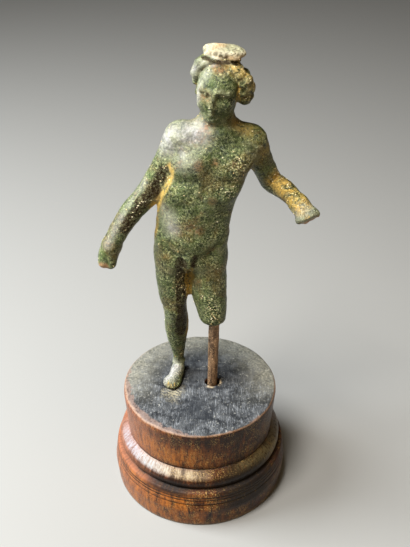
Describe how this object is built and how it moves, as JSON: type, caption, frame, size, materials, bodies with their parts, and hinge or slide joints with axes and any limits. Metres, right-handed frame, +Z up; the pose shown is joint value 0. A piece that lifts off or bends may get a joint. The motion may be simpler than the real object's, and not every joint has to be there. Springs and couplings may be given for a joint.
{
  "type": "bronze figurine",
  "caption": "Small cast bronze of a standing nude youth with a broken left leg, carried by an iron pin on a turned wooden plinth.",
  "frame": {"origin": "centre of the plinth's underside", "axes": "+Z up; the figure faces -Y; +X is towards the figure's own left hand"},
  "size_m": [0.0537, 0.0486, 0.1235],
  "materials": {
    "patinated_bronze": "dark green patina with red-brown patches, worn to a dull shine",
    "rusty_iron": "brown rust",
    "stained_wood": "dark red-brown stain under old wax, nearly black on top, worn bare along the rim"
  },
  "bodies": {
    "root": {"bronze_figure": "patinated_bronze", "mounting_pin": "rusty_iron", "turned_plinth": "stained_wood"}
  },
  "joints": []
}
